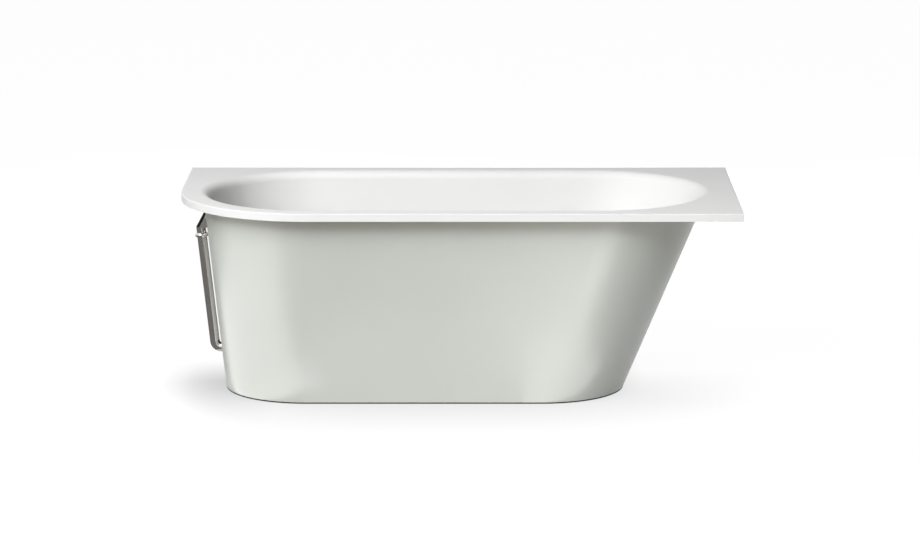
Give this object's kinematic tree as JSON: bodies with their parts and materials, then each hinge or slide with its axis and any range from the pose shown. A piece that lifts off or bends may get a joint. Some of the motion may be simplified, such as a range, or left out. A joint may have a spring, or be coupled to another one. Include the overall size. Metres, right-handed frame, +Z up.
{
  "type": "built-in bathtub",
  "caption": "Corner bathtub with an oval basin, thin flat rim, tapering skirt panel, overflow pipe outside its foot end, pop-up waste and levelling feet.",
  "frame": {"origin": "on the floor, under the middle of the rim's outline", "axes": "+X along the bath towards the raked head end, +Y towards the wall behind, +Z up"},
  "size_m": [1.7, 0.8, 0.605],
  "materials": {
    "acrylic_white": "polished",
    "skirt_sage": "satin",
    "rubber_dark": "matte",
    "timber": "raw",
    "zinc_steel": "zinc plated",
    "foot_plastic": "moulded",
    "chrome": "polished",
    "cover_black": "satin",
    "pipe_plastic": "moulded",
    "brass": "turned",
    "cable_sheath": "smooth"
  },
  "bodies": {
    "tub": {"tub_shell": "acrylic_white", "skirt": "skirt_sage", "floor_seal": "rubber_dark", "overflow_gasket": "rubber_dark", "pipe_grommet": "rubber_dark", "waste_gasket_upper": "rubber_dark", "waste_gasket_lower": "rubber_dark", "rim_batten_foot": "timber", "rim_batten_front": "timber", "rim_batten_back": "timber", "rim_batten_head": "timber", "base_board": "timber", "leg_rail_foot": "zinc_steel", "leg_rail_head": "zinc_steel", "rail_screws": "zinc_steel", "rivet_nuts": "zinc_steel", "lock_nuts": "zinc_steel", "wall_bracket_foot": "zinc_steel", "wall_bracket_middle": "zinc_steel", "wall_bracket_head": "zinc_steel", "bracket_screws": "zinc_steel", "clamp_screws": "zinc_steel", "overflow_housing": "chrome", "overflow_collar": "chrome", "overflow_pipe": "chrome", "waste_flange": "chrome", "housing_cover": "cover_black", "overflow_bridge": "pipe_plastic", "waste_body": "pipe_plastic", "pipe_union": "pipe_plastic", "trap_cup": "pipe_plastic", "outlet_pipe": "pipe_plastic", "outlet_nut": "pipe_plastic", "control_cable": "cable_sheath"},
    "knob": {"overflow_knob": "chrome", "control_spindle": "brass"},
    "plug": {"plug_cap": "chrome", "plug_seal": "rubber_dark", "plug_stem": "brass"},
    "leveller_foot_front": {"foot_pad_foot_front": "foot_plastic", "foot_stud_foot_front": "zinc_steel"},
    "leveller_foot_back": {"foot_pad_foot_back": "foot_plastic", "foot_stud_foot_back": "zinc_steel"},
    "leveller_head_front": {"foot_pad_head_front": "foot_plastic", "foot_stud_head_front": "zinc_steel"},
    "leveller_head_back": {"foot_pad_head_back": "foot_plastic", "foot_stud_head_back": "zinc_steel"}
  },
  "joints": [
    {"name": "knob_turn", "type": "hinge", "parent": "tub", "child": "knob", "pos_m": [-0.75549, 0, 0.505], "axis": [0.9945, 0, 0.1045], "range_deg": [0, 60]},
    {"name": "plug_lift", "type": "slide", "parent": "tub", "child": "plug", "axis": [0, 0, 1], "range_m": [0, 0.012]},
    {"name": "level_foot_front", "type": "slide", "parent": "tub", "child": "leveller_foot_front", "axis": [0, 0, -1], "range_m": [0, 0.01]},
    {"name": "level_foot_back", "type": "slide", "parent": "tub", "child": "leveller_foot_back", "axis": [0, 0, -1], "range_m": [0, 0.01]},
    {"name": "level_head_front", "type": "slide", "parent": "tub", "child": "leveller_head_front", "axis": [0, 0, -1], "range_m": [0, 0.01]},
    {"name": "level_head_back", "type": "slide", "parent": "tub", "child": "leveller_head_back", "axis": [0, 0, -1], "range_m": [0, 0.01]}
  ],
  "couplings": [
    {"joint": "plug_lift", "follows": "knob_turn", "m_per_rad": 0.011459}
  ]
}
